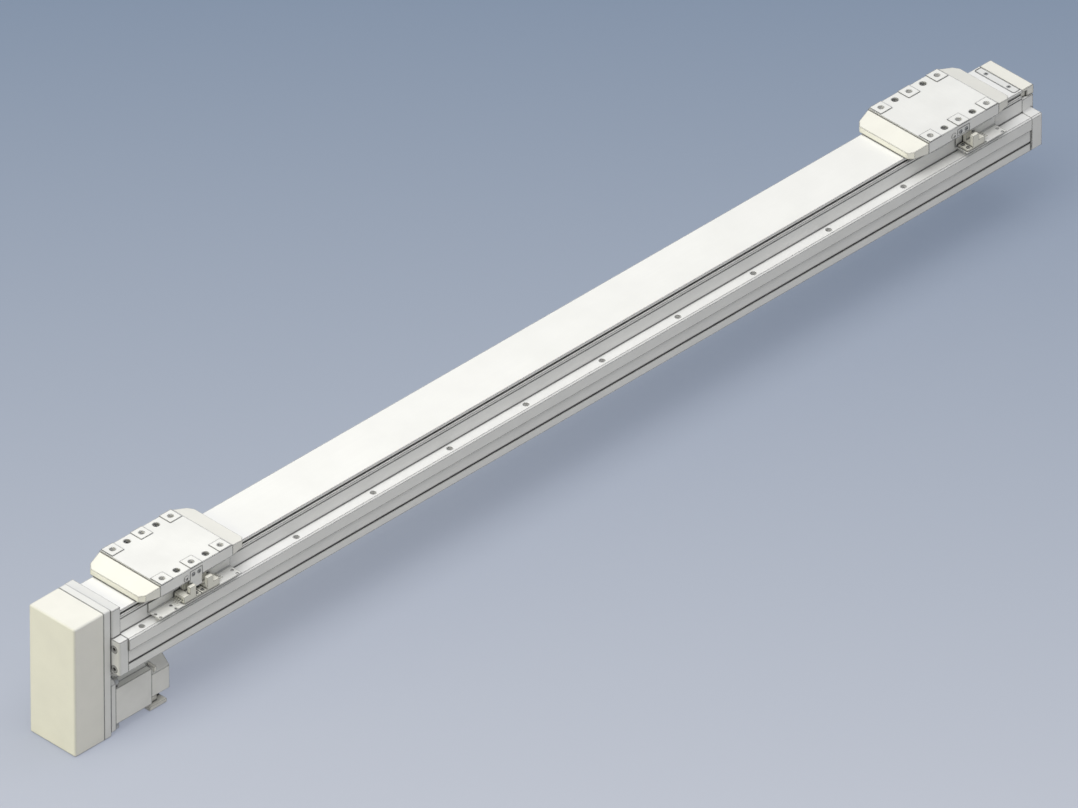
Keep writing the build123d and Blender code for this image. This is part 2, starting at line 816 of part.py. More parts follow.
# Clamp bar: sits flush in the recess at the cover's far end and holds it down with two screws
clamp_screw_places = [(clamp_centre, -cover_screw_offset), (clamp_centre, cover_screw_offset)]
clamp_seat = (cover_top + cover_bottom) / 2
with BuildPart() as cover_clamp_bar:
    with BuildSketch(Plane.XY.offset(clamp_seat)):
        with Locations((clamp_centre, 0)):
            RectangleRounded(
                cover_clamp_width - 2 * running_clearance,
                2 * (cover_clamp_half_length - running_clearance),
                cover_clamp_corner,
            )
    extrude(amount=cover_top - clamp_seat)
    chamfer(cover_clamp_bar.faces().sort_by(Axis.Z)[-1].edges(), running_clearance)
    with BuildSketch(Plane.XY.offset(clamp_seat)):
        with Locations(*clamp_screw_places):
            Circle(cover_screw_radius + screw_hole_clearance)
    extrude(amount=cover_top - clamp_seat, mode=Mode.SUBTRACT)
    with BuildSketch(Plane.XY.offset(cover_top)):
        with Locations(*clamp_screw_places):
            Circle(cover_clamp_head_radius + fit_clearance)
    extrude(amount=-cover_clamp_head_depth, mode=Mode.SUBTRACT)
save(cover_clamp_bar, "cover_clamp_bar")

cover_clamp_screws = hex_socket_screw(
    Plane.XY.offset(cover_top - cover_clamp_head_depth),
    clamp_screw_places,
    cover_screw_radius,
    cover_clamp_screw_length,
    cover_clamp_head_radius,
    cover_clamp_head_depth,
)
save(cover_clamp_screws, "cover_clamp_screws")

# Support housing: fills the channel's far end, carries the support bearing and the cover's end
with BuildPart() as support_housing:
    with BuildSketch(Plane.YZ.offset(support_start)):
        housing_outline = mirrored([
            (0, floor_height),
            (wall_inner - fit_clearance - channel_fillet, floor_height),
            (wall_inner - fit_clearance, floor_height + channel_fillet),
            (wall_inner - fit_clearance, cover_bottom),
            (0, cover_bottom),
        ])
        with BuildLine():
            Polyline(*housing_outline, close=True)
        make_face()
    extrude(amount=support_housing_length)
    with BuildSketch(Plane.YZ.offset(support_bearing_start)):
        with Locations((0, screw_height)):
            Circle(support_bearing_radius + fit_clearance)
    extrude(amount=support_bearing_width, mode=Mode.SUBTRACT)
    with BuildSketch(Plane.YZ.offset(support_start)):
        with Locations((0, screw_height)):
            Circle(screw_radius + screw_bore_gap)
    extrude(amount=support_housing_length, mode=Mode.SUBTRACT)
    with BuildSketch(Plane.XY.offset(cover_bottom)):
        with Locations(*clamp_screw_places):
            Circle(cover_screw_radius + fit_clearance)
    extrude(amount=-cover_clamp_screw_length, mode=Mode.SUBTRACT)
save(support_housing, "support_housing")

# Far end plate: closes the rail, with chamfered edges and a raised block above the ledges
with BuildPart() as far_end_plate:
    with BuildSketch(Plane.YZ.offset(rail_end)):
        Rectangle(2 * band_half_width, ledge_height, align=(Align.CENTER, Align.MIN))
    extrude(amount=far_plate_thickness)
    long_edges = far_end_plate.edges().filter_by(Axis.X)
    far_edges = far_end_plate.faces().sort_by(Axis.X)[-1].edges()
    chamfer(long_edges + far_edges, far_plate_chamfer)
    with BuildSketch(Plane.YZ.offset(rail_end)):
        Rectangle(2 * wall_outer, far_block_top, align=(Align.CENTER, Align.MIN))
        with Locations((0, 0)):
            Rectangle(
                2 * wall_outer,
                ledge_height - far_block_fillet,
                align=(Align.CENTER, Align.MIN),
                mode=Mode.SUBTRACT,
            )
    extrude(amount=far_plate_thickness)
    inner_corners = far_end_plate.edges().filter_by(Axis.X).filter_by_position(
        Axis.Z, ledge_height - 0.1, ledge_height + 0.1
    )
    fillet(inner_corners.group_by(SortBy.DISTANCE)[0], far_block_fillet)
    with BuildSketch(Plane.YZ.offset(rail_end)):
        with Locations((0, screw_height)):
            Circle(support_journal_radius + screw_bore_gap)
    extrude(amount=screw_end_room, mode=Mode.SUBTRACT)
    with BuildSketch(Plane.YZ.offset(rail_end)):
        with Locations(*end_screw_places):
            Circle(end_screw_radius + screw_hole_clearance)
    extrude(amount=far_plate_thickness, mode=Mode.SUBTRACT)
    with BuildSketch(Plane.YZ.offset(rail_end + far_plate_thickness)):
        with Locations(*end_screw_places):
            Circle(end_screw_head_radius + screw_hole_clearance)
    extrude(amount=-end_screw_head_height, mode=Mode.SUBTRACT)
save(far_end_plate, "far_end_plate")

far_plate_screws = hex_socket_screw(
    Plane(
        origin=(rail_end + far_plate_thickness - end_screw_head_height, 0, 0),
        x_dir=(0, 1, 0),
        z_dir=(1, 0, 0),
    ),
    end_screw_places,
    end_screw_radius,
    far_plate_thickness - end_screw_head_height + end_screw_reach,
    end_screw_head_radius,
    end_screw_head_height,
)
save(far_plate_screws, "far_plate_screws")

# Far end cap: continues the top cover over the far end plate, notched beside the cover's slots
with BuildPart() as far_end_cap:
    with BuildSketch(Plane.YZ.offset(far_cap_front)):
        with Locations((0, far_block_top)):
            Rectangle(
                2 * cover_half_width, far_cap_top - far_block_top, align=(Align.CENTER, Align.MIN)
            )
    extrude(amount=far_cap_end - far_cap_front)
    chamfer(far_end_cap.faces().sort_by(Axis.Z)[-1].edges(), edge_break)
    with BuildSketch(Plane.YZ.offset(far_cap_front)):
        for side in (-1, 1):
            with Locations((side * cover_half_width, far_block_top)):
                Rectangle(
                    2 * far_cap_notch_depth,
                    cover_bottom - far_block_top,
                    align=(Align.CENTER, Align.MIN),
                )
    extrude(amount=far_cap_notch_length, mode=Mode.SUBTRACT)
save(far_end_cap, "far_end_cap")

# Bumpers: two rubber stops at each end of the channel, in the saddles' way
with BuildPart() as bumpers:
    bumper_reach = boss_end + bumper_length - rail_start
    for face_x, length in ((rail_start, bumper_reach), (support_start, -bumper_length)):
        with BuildSketch(Plane.YZ.offset(face_x)):
            with Locations((-bumper_offset, bumper_height), (bumper_offset, bumper_height)):
                Circle(bumper_radius)
        extrude(amount=length)
save(bumpers, "bumpers")


# Sensors: U-shaped photo sensors whose slots lie on the path of the carriages' dogs
left_pair_centre = left_centre + left_pair_shift
sensor_places = [
    ("home_sensor", left_pair_centre - sensor_pair_gap / 2, -1),
    ("left_limit_sensor", left_pair_centre + sensor_pair_gap / 2, 1),
    ("right_limit_sensor", right_centre + right_sensor_shift, 1),
]
sensor_screw_places = []
for sensor_name, flange_end, direction in sensor_places:
    prong_start = flange_end + direction * sensor_flange_length
    body_start = prong_start + direction * sensor_prong_length
    pins_start = body_start + direction * sensor_body_length
    hole_x = flange_end + direction * sensor_flange_length / 2
    hole_places = [
        (hole_x, slot_line + side * sensor_hole_spacing / 2) for side in (-1, 1)
    ]
    sensor_screw_places += hole_places
    sensor_width = sensor_slot_width + 2 * sensor_prong_width
    with BuildPart() as photo_sensor:
        with BuildSketch(Plane.YZ.offset(prong_start)):
            with Locations((slot_line, bracket_top)):
                Rectangle(
                    sensor_width, sensor_top - bracket_top, align=(Align.CENTER, Align.MIN)
                )
            with Locations((slot_line, sensor_web_top)):
                Rectangle(
                    sensor_slot_width,
                    sensor_top - sensor_web_top,
                    align=(Align.CENTER, Align.MIN),
                    mode=Mode.SUBTRACT,
                )
        extrude(amount=direction * sensor_prong_length)
        with BuildSketch(Plane.YZ.offset(prong_start)):
            with Locations((slot_line, bracket_top)):
                Rectangle(
                    sensor_width, sensor_flange_thickness, align=(Align.CENTER, Align.MIN)
                )
        extrude(amount=-direction * sensor_flange_length)
        with BuildSketch(Plane.YZ.offset(body_start)):
            with Locations((slot_line, bracket_top)):
                Rectangle(
                    sensor_width, sensor_body_top - bracket_top, align=(Align.CENTER, Align.MIN)
                )
        extrude(amount=direction * sensor_body_length)
        pin_level = (bracket_top + sensor_body_top) / 2
        with BuildSketch(Plane.YZ.offset(pins_start)):
            with Locations((slot_line, pin_level)):
                with GridLocations(sensor_pin_pitch, 1, sensor_pin_count, 1):
                    Rectangle(sensor_pin_size, sensor_pin_size)
        extrude(amount=direction * sensor_pin_length)
        with BuildSketch(Plane.XY.offset(bracket_top)):
            with Locations(*hole_places):
                Circle(sensor_screw_radius + screw_hole_clearance)
        extrude(amount=sensor_flange_thickness, mode=Mode.SUBTRACT)
    save(photo_sensor, sensor_name)

sensor_screws = hex_socket_screw(
    Plane.XY.offset(bracket_top + sensor_flange_thickness),
    sensor_screw_places,
    sensor_screw_radius,
    sensor_screw_length,
    sensor_screw_head_radius,
    sensor_screw_head_height,
)
save(sensor_screws, "sensor_screws")

# Sensor brackets: bent sheet angles on the wall, with hole pairs for moving the sensors
def make_bracket(name, start, end, hole_stations, screw_places):
    """One angle bracket between two places along the rail."""
    inner_face = -(wall_outer + bracket_thickness)
    under_face = bracket_top - bracket_thickness
    with BuildPart() as bracket:
        with BuildSketch(Plane.YZ.offset(start)):
            with BuildLine():
                Polyline(
                    (-bracket_reach, bracket_top),
                    (inner_face, bracket_top),
                    (inner_face, wall_step_height),
                    (-wall_outer, wall_step_height),
                    (-wall_outer, under_face),
                    (-bracket_reach, under_face),
                    close=True,
                )
            make_face()
            bend = vertices().sort_by_distance((inner_face, bracket_top))[0]
            fillet(bend, bracket_bend_radius)
            heel = vertices().sort_by_distance((-wall_outer, under_face))[0]
            fillet(heel, bracket_bend_radius + bracket_thickness)
        extrude(amount=end - start)
        with BuildSketch(Plane.XY.offset(bracket_top)):
            with Locations(*[(station, -bracket_hole_row) for station in hole_stations]):
                with GridLocations(1, sensor_hole_spacing, 1, 2):
                    Circle(bracket_hole_radius)
            with Locations(*screw_places):
                Circle(sensor_screw_radius + fit_clearance)
        extrude(amount=-bracket_thickness, mode=Mode.SUBTRACT)
    save(bracket, name)


make_bracket(
    "sensor_bracket_left",
    left_centre - left_bracket_before,
    left_centre + left_bracket_after,
    [left_centre + shift for shift in left_bracket_holes],
    sensor_screw_places[:4],
)
make_bracket(
    "sensor_bracket_right",
    right_centre - right_bracket_before,
    right_centre + right_bracket_after,
    [right_centre + shift for shift in right_bracket_holes],
    sensor_screw_places[4:],
)

# Motor connectors: a hooked plug seat beside the encoder cover and a plug plate under it
with BuildPart() as power_connector:
    hook_outer = -(motor_half_width + hook_stand_off)
    hook_seat = -(motor_half_width - (hook_top - octagon_half_flat))
    with BuildSketch(Plane.YZ.offset(encoder_start + hook_shift)):
        with BuildLine():
            Polyline(
                (hook_seat, motor_height + hook_top),
                (hook_outer, motor_height + hook_top),
                (hook_outer, motor_height + hook_top - hook_drop),
                (hook_outer + hook_thickness, motor_height + hook_top - hook_drop),
                (hook_outer + hook_thickness, motor_height + hook_top - hook_thickness),
                (hook_seat - hook_thickness, motor_height + hook_top - hook_thickness),
                close=True,
            )
        make_face()
    extrude(amount=hook_width)
save(power_connector, "power_connector")

with BuildPart() as encoder_connector:
    plug_inner = motor_half_width + octagon_half_flat - plug_drop
    neck_drop = motor_half_width + octagon_half_flat - neck_reach
    plug_top = motor_height - plug_drop
    with BuildSketch(Plane.YZ.offset(encoder_start)):
        with BuildLine():
            Polyline(
                (-plug_reach, plug_top),
                (-plug_inner, plug_top),
                (-octagon_half_flat, motor_height - motor_half_width),
                (-plug_reach, motor_height - motor_half_width),
                close=True,
            )
        make_face()
    extrude(amount=plug_length)
    with BuildSketch(Plane.YZ.offset(encoder_start + neck_shift)):
        with BuildLine():
            Polyline(
                (-neck_reach, plug_top),
                (-plug_inner, plug_top),
                (-neck_reach, motor_height - neck_drop),
                close=True,
            )
        make_face()
    extrude(amount=neck_length)
save(encoder_connector, "encoder_connector")

# Carriages: each is a table with two end caps on a saddle that reaches through the cover's slots
carriage_sides = [("left", left_centre, 1), ("right", right_centre, -1)]
table_screw_y = table_hole_row_spacing / 2


def make_table(side, centre):
    """The mounting plate with six raised pads, their threads and four counterbored screw holes."""
    with BuildPart() as table:
        with BuildSketch(Plane.XY.offset(table_bottom)):
            with Locations((centre, 0)):
                Rectangle(table_length, 2 * table_half_width)
        extrude(amount=table_top - table_bottom)
        top_rim = table.faces().sort_by(Axis.Z)[-1].edges()
        chamfer(top_rim, edge_break)
        with BuildSketch(Plane.XY.offset(table_top)):
            with Locations((centre, 0)):
                with GridLocations(pad_spacing, table_hole_row_spacing, 3, 2):
                    Rectangle(pad_size, pad_size)
        extrude(amount=pad_height)
        with Locations((centre, 0, table_top + pad_height)):
            with GridLocations(pad_spacing, table_hole_row_spacing, 3, 2):
                CounterSinkHole(
                    table_hole_radius, table_hole_mouth_radius, table_hole_depth, 90
                )
        with Locations((centre, 0, table_top)):
            with GridLocations(table_screw_spacing, table_hole_row_spacing, 2, 2):
                CounterBoreHole(
                    table_screw_radius + screw_hole_clearance,
                    table_screw_head_radius + screw_hole_clearance,
                    table_screw_head_depth,
                    table_top - table_bottom,
                )
        with BuildSketch(Plane.XZ.offset(table_half_width)):
            with Locations((centre + dog_shift, table_bottom)):
                Rectangle(
                    dog_width + 2 * running_clearance,
                    dog_top + running_clearance - table_bottom,
                    align=(Align.CENTER, Align.MIN),
                )
        extrude(amount=-dog_thickness, mode=Mode.SUBTRACT)
        with BuildSketch(Plane.XZ.offset(table_half_width)):
            with Locations((centre + dog_shift, dog_screw_height)):
                with GridLocations(dog_screw_spacing, 1, 2, 1):
                    Circle(dog_screw_radius + fit_clearance)
        extrude(amount=-dog_screw_depth, mode=Mode.SUBTRACT)
    save(table, f"table_{side}")


def make_end_cap(name, joint_x, direction):
    """A moulded cap with a sloping top, tapered sides, rounded corners and an open underside."""
    tip_x = joint_x + direction * end_cap_length
    taper_x = tip_x - direction * end_cap_corner
    tapered_half = table_half_width - end_cap_side_taper
    plan = [
        (joint_x, table_half_width),
        (taper_x, tapered_half),
        (tip_x, tapered_half - end_cap_corner),
        (tip_x, end_cap_corner - tapered_half),
        (taper_x, -tapered_half),
        (joint_x, -table_half_width),
    ]
    with BuildPart() as end_cap:
        with BuildSketch(Plane.XY.offset(table_bottom)):
            with BuildLine():
                Polyline(*plan, close=True)
            make_face()
        extrude(amount=table_top - end_cap_drop - table_bottom)
        with BuildSketch(Plane.XZ):
            with BuildLine():
                Polyline(
                    (joint_x, table_top - end_cap_drop),
                    (tip_x + direction, table_bottom + end_cap_front_height),
                    (tip_x + direction, table_top),
                    (joint_x, table_top),
                    close=True,
                )
            make_face()
        extrude(amount=table_half_width, both=True, mode=Mode.SUBTRACT)
        corners = end_cap.edges().filter_by(Axis.Z)
        fillet(corners.group_by(Axis.X)[-1 if direction > 0 else 0], end_cap_rounding)
        slope = end_cap.faces().sort_by(Axis.Z)[-1]
        fillet(slope.edges(), edge_break)
        with BuildSketch(Plane.XY.offset(table_bottom)):
            with Locations((joint_x + direction * (end_cap_length - end_cap_shell) / 2, 0)):
                Rectangle(
                    end_cap_length - 3 * end_cap_shell, 2 * (tapered_half - 2 * end_cap_shell)
                )
        extrude(amount=end_cap_front_height - end_cap_shell, mode=Mode.SUBTRACT)
    save(end_cap, name)


def make_saddle(side, centre, direction):
    """The body inside the channel, with the nut's bore and an arm through each slot."""
    with BuildPart() as saddle:
        with BuildSketch(Plane.YZ.offset(centre - saddle_length / 2)):
            saddle_outline = mirrored([
                (0, saddle_bottom),
                (saddle_half_width, saddle_bottom),
                (saddle_half_width, web_bottom),
                (arm_reach, web_bottom),
                (arm_reach, riser_bottom),
                (riser_reach, riser_bottom),
                (riser_reach, table_bottom),
                (riser_inner, table_bottom),
                (riser_inner, web_top),
                (0, web_top),
            ])
            with BuildLine():
                Polyline(*saddle_outline, close=True)
            make_face()
        extrude(amount=saddle_length)
        with BuildSketch(Plane.YZ.offset(centre - saddle_length / 2)):
            with Locations((0, screw_height)):
                Circle(nut_radius + fit_clearance)
        extrude(amount=saddle_length, mode=Mode.SUBTRACT)
        with BuildSketch(Plane.XY.offset(table_bottom)):
            with Locations((centre, 0)):
                with GridLocations(table_screw_spacing, table_hole_row_spacing, 2, 2):
                    Circle(table_screw_radius + fit_clearance)
        extrude(amount=-table_screw_thread, mode=Mode.SUBTRACT)
        with BuildSketch(Plane.YZ.offset(centre + direction * saddle_length / 2)):
            with Locations((0, screw_height)):
                with PolarLocations(nut_screw_circle, 4, start_angle=45):
                    Circle(nut_screw_radius + fit_clearance)
        extrude(amount=-direction * nut_screw_reach, mode=Mode.SUBTRACT)
    save(saddle, f"saddle_{side}")


def make_ball_nut(side, centre, direction):
    """A flanged nut with flats; its bore keeps clear of the screw."""
    flange_face = centre + direction * saddle_length / 2
    with BuildPart() as ball_nut:
        with BuildSketch(Plane.YZ.offset(flange_face)):
            with Locations((0, screw_height)):
                Circle(nut_radius)
        extrude(amount=-direction * (nut_length - nut_flange_thickness))
        with BuildSketch(Plane.YZ.offset(flange_face)):
            with Locations((0, screw_height)):
                Circle(nut_flange_radius)
                Rectangle(
                    2 * nut_flange_radius, 2 * nut_flange_flat, mode=Mode.INTERSECT
                )
        extrude(amount=direction * nut_flange_thickness)
        with BuildSketch(Plane.YZ.offset(flange_face + direction * nut_flange_thickness)):
            with Locations((0, screw_height)):
                Circle(screw_radius + running_clearance)
        extrude(amount=-direction * nut_length, mode=Mode.SUBTRACT)
        with BuildSketch(Plane.YZ.offset(flange_face)):
            with Locations((0, screw_height)):
                with PolarLocations(nut_screw_circle, 4, start_angle=45):
                    Circle(nut_screw_radius + screw_hole_clearance)
        extrude(amount=direction * nut_flange_thickness, mode=Mode.SUBTRACT)
    save(ball_nut, f"ball_nut_{side}")
    turn = radians(45)
    screw_plane = Plane(
        origin=(flange_face + direction * nut_flange_thickness, 0, screw_height),
        x_dir=(0, 1, 0),
        z_dir=(direction, 0, 0),
    )
    nut_screws = hex_socket_screw(
        screw_plane,
        [
            (across * nut_screw_circle * cos(turn), up * nut_screw_circle * sin(turn))
            for across in (-1, 1)
            for up in (-1, 1)
        ],
        nut_screw_radius,
        nut_flange_thickness + nut_screw_reach - screw_hole_excess,
        nut_screw_head_radius,
        nut_screw_head_height,
    )
    save(nut_screws, f"nut_screws_{side}")


def make_guide_blocks(side, centre):
    """Four ball guide blocks, two on each rail, under the saddle."""
    with BuildPart() as guide_blocks:
        for station in (centre - guide_block_spacing / 2, centre + guide_block_spacing / 2):
            with BuildSketch(Plane.YZ.offset(station - guide_block_length / 2)):
                for offset_y in (-guide_offset, guide_offset):
                    with Locations((offset_y, block_bottom)):
                        Rectangle(
                            guide_block_width,
                            guide_block_height,
                            align=(Align.CENTER, Align.MIN),
                        )
                        Rectangle(
                            guide_width + 2 * running_clearance,
                            floor_height + guide_height + running_clearance - block_bottom,
                            align=(Align.CENTER, Align.MIN),
                            mode=Mode.SUBTRACT,
                        )
            extrude(amount=guide_block_length)
    save(guide_blocks, f"guide_blocks_{side}")


def make_dog(side, centre, bottom):
    """The sensor flag: a flat plate screwed to the table's edge, hanging down to its bottom."""
    middle = centre + dog_shift
    with BuildPart() as dog:
        with BuildSketch(Plane.XZ.offset(table_half_width)):
            with Locations((middle, bottom)):
                Rectangle(dog_width, dog_top - bottom, align=(Align.CENTER, Align.MIN))
            with Locations((middle, dog_screw_height)):
                with GridLocations(dog_screw_spacing, 1, 2, 1):
                    Circle(dog_screw_radius + screw_hole_clearance, mode=Mode.SUBTRACT)
        extrude(amount=-dog_thickness)
    save(dog, f"sensor_dog_{side}")


for side, centre, direction in carriage_sides:
    make_table(side, centre)
    make_end_cap(f"outer_end_cap_{side}", centre - direction * table_length / 2, -direction)
    make_end_cap(f"inner_end_cap_{side}", centre + direction * table_length / 2, direction)
    make_saddle(side, centre, direction)
    make_ball_nut(side, centre, direction)
    make_guide_blocks(side, centre)
    make_dog(side, centre, left_dog_bottom if side == "left" else right_dog_bottom)
    table_screws = hex_socket_screw(
        Plane.XY.offset(table_top - table_screw_head_depth),
        [
            (centre + across * table_screw_spacing / 2, along * table_screw_y)
            for across in (-1, 1)
            for along in (-1, 1)
        ],
        table_screw_radius,
        table_top - table_screw_head_depth - table_bottom + table_screw_thread - fit_clearance,
        table_screw_head_radius,
        table_screw_head_height,
    )
    save(table_screws, f"table_screws_{side}")
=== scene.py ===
import math

import bmesh
import bpy
from mathutils import Matrix, Vector


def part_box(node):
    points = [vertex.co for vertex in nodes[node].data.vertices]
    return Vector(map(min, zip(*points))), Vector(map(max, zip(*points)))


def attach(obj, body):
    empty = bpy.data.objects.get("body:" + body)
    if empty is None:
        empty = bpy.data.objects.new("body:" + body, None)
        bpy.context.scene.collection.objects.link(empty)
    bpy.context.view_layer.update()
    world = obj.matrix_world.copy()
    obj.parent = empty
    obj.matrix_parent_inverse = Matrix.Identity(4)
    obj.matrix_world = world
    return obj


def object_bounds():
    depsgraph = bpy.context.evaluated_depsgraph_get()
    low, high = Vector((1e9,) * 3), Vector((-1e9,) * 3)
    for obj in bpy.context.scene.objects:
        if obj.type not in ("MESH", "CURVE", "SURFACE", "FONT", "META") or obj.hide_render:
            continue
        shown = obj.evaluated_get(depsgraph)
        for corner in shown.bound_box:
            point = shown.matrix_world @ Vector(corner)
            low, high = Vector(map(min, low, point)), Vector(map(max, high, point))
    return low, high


# Looks of the ball screw linear axis. Metres, in the frame of the solids: X along the axis from
# the motor end, Z up, the sensors on the -Y side.

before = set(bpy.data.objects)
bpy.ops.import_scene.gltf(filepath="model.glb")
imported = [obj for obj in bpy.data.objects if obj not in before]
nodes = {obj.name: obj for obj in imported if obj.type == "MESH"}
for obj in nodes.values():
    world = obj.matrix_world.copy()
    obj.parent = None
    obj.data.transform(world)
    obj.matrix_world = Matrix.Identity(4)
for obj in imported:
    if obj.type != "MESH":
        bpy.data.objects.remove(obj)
solid_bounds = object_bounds()
scene = bpy.context.scene

MM = 0.001

# Shared by all materials of the part
NOISE_ROUGHNESS = 0.55
NOISE_LOW, NOISE_HIGH = 0.3, 0.7
WIDE_LINE = 1.5 * MM
FINE_LINE = 0.7 * MM
LINE_STRENGTH = 0.95
LINE_FULL, LINE_NONE = 0.93, 0.999
LINE_SAMPLES = 4
WORN_SHADE = 0.12
# Painted shade: an occlusion test darkens the colour in seams and concave corners, where shade
# falls
AO_SHADE_REACH = 2.0 * MM
AO_SHADE_FULL, AO_SHADE_NONE = 0.5, 0.96
AO_SHADE_SAMPLES = 6

METAL_GLOSS = 0.28
# Share of the metal colour left in the painted shade of seams and corners
METAL_PAINTED_SHADE = 0.10
METAL_PATCHES = 22.0
METAL_STREAKS = 0.35
METAL_RELIEF = 0.05 * MM

# Share of the plastic colour left in the painted shade of seams and corners
PLASTIC_PAINTED_SHADE = 0.12
PLASTIC_PATCHES = 35.0
PLASTIC_RELIEF = 0.04 * MM


# Materials: each is built from object coordinates, so its grain lies in the piece
def new_material(name):
    """An empty node material with its shader and its object coordinates."""
    material = bpy.data.materials.new(name)
    material.use_nodes = True
    tree = material.node_tree
    shader = tree.nodes["Principled BSDF"]
    coordinates = tree.nodes.new("ShaderNodeTexCoord")
    return material, tree, shader, coordinates.outputs["Object"]


def noise(tree, vector, scale, stretch=(1, 1, 1), detail=4):
    """Noise whose grain is drawn out along the axes by the stretch."""
    mapping = tree.nodes.new("ShaderNodeMapping")
    mapping.inputs["Scale"].default_value = stretch
    texture = tree.nodes.new("ShaderNodeTexNoise")
    texture.inputs["Scale"].default_value = scale
    texture.inputs["Detail"].default_value = detail
    texture.inputs["Roughness"].default_value = NOISE_ROUGHNESS
    tree.links.new(vector, mapping.inputs["Vector"])
    tree.links.new(mapping.outputs["Vector"], texture.inputs["Vector"])
    return texture.outputs["Fac"]


def ranged(tree, value, low, high, from_low=NOISE_LOW, from_high=NOISE_HIGH):
    """A value brought from its usual spread into a new one."""
    node = tree.nodes.new("ShaderNodeMapRange")
    node.inputs["From Min"].default_value = from_low
    node.inputs["From Max"].default_value = from_high
    node.inputs["To Min"].default_value = low
    node.inputs["To Max"].default_value = high
    tree.links.new(value, node.inputs["Value"])
    return node.outputs["Result"]


def mixed(tree, factor, first, second):
    """Two colours mixed by a factor; each colour is a socket or a plain colour."""
    node = tree.nodes.new("ShaderNodeMix")
    node.data_type = "RGBA"
    # The inputs that a colour mix uses, by their place: factor, A and B
    for place, value in ((0, factor), (6, first), (7, second)):
        socket = node.inputs[place]
        if isinstance(value, bpy.types.NodeSocket):
            tree.links.new(value, socket)
        else:
            socket.default_value = (*value, 1)
    return node.outputs[2]


def dimmed(colour, shade):
    """The colour with each channel times the shade, one at most."""
    return tuple(min(1.0, channel * shade) for channel in colour)


def edge_line(tree, width):
    """How near a point is to a sharp edge, from the turn of a rounded normal."""
    bevel = tree.nodes.new("ShaderNodeBevel")
    bevel.inputs["Radius"].default_value = width
    bevel.samples = LINE_SAMPLES
    geometry = tree.nodes.new("ShaderNodeNewGeometry")
    dot = tree.nodes.new("ShaderNodeVectorMath")
    dot.operation = "DOT_PRODUCT"
    tree.links.new(bevel.outputs["Normal"], dot.inputs[0])
    tree.links.new(geometry.outputs["Normal"], dot.inputs[1])
    return ranged(tree, dot.outputs["Value"], LINE_STRENGTH, 0.0, LINE_FULL, LINE_NONE)


def painted_shade_in_corners(tree):
    """Painted shade: zero in seams and corners, where an occlusion test finds shade, and one on
    open faces.
    """
    occlusion = tree.nodes.new("ShaderNodeAmbientOcclusion")
    occlusion.inputs["Distance"].default_value = AO_SHADE_REACH
    occlusion.samples = AO_SHADE_SAMPLES
    return ranged(tree, occlusion.outputs["AO"], 0.0, 1.0, AO_SHADE_FULL, AO_SHADE_NONE)


def edge_lines_and_painted_shade(tree, base, colour, line, corner_darkening):
    """The base with dark wear along its edges, and painted shade darkening its seams and
    corners.
    """
    base = mixed(tree, edge_line(tree, line), base, dimmed(colour, WORN_SHADE))
    # Painted shade: the colour is dimmed where the occlusion test finds a seam or corner
    return mixed(tree, painted_shade_in_corners(tree), dimmed(colour, corner_darkening), base)


def bumped(tree, shader, height, strength, distance):
    """Fine relief from a height value."""
    bump = tree.nodes.new("ShaderNodeBump")
    bump.inputs["Strength"].default_value = strength
    bump.inputs["Distance"].default_value = distance
    tree.links.new(height, bump.inputs["Height"])
    tree.links.new(bump.outputs["Normal"], shader.inputs["Normal"])


def metal(
    name,
    colour,
    metallic,
    rough,
    stretch=(1, 1, 1),
    grain=900.0,
    relief=0.06,
    spread=0.04,
    line=WIDE_LINE,
):
    """Machined, drawn or ground metal: grain, patches, dark wear along edges, and painted shade
    in seams and corners.
    """
    material, tree, shader, place = new_material(name)
    patches = noise(tree, place, METAL_PATCHES, detail=3)
    lines = noise(tree, place, grain, stretch, detail=2)
    darker = dimmed(colour, 1 - spread * 1.6)
    lighter = dimmed(colour, 1 + spread)
    base = mixed(tree, ranged(tree, patches, 0.0, 1.0), darker, lighter)
    base = mixed(tree, ranged(tree, lines, 0.0, METAL_STREAKS), base, darker)
    base = edge_lines_and_painted_shade(tree, base, colour, line, METAL_PAINTED_SHADE)
    tree.links.new(base, shader.inputs["Base Color"])
    tree.links.new(ranged(tree, lines, rough - 0.06, rough + 0.08), shader.inputs["Roughness"])
    shader.inputs["Metallic"].default_value = metallic
    shader.inputs["Specular IOR Level"].default_value = METAL_GLOSS
    bumped(tree, shader, lines, relief, METAL_RELIEF)
    return material


def plastic(name, colour, rough, grain=1400.0, relief=0.12, spread=0.04, line=WIDE_LINE):
    """Moulded plastic or paint: a fine leathered skin, faint handling marks, and painted shade
    in seams and corners.
    """
    material, tree, shader, place = new_material(name)
    patches = noise(tree, place, PLASTIC_PATCHES)
    skin = noise(tree, place, grain, detail=3)
    darker = dimmed(colour, 1 - spread * 1.5)
    lighter = dimmed(colour, 1 + spread)
    base = mixed(tree, ranged(tree, patches, 0.0, 1.0), darker, lighter)
    base = edge_lines_and_painted_shade(tree, base, colour, line, PLASTIC_PAINTED_SHADE)
    tree.links.new(base, shader.inputs["Base Color"])
    tree.links.new(ranged(tree, patches, rough - 0.05, rough + 0.07), shader.inputs["Roughness"])
    bumped(tree, shader, skin, relief, PLASTIC_RELIEF)
    return material


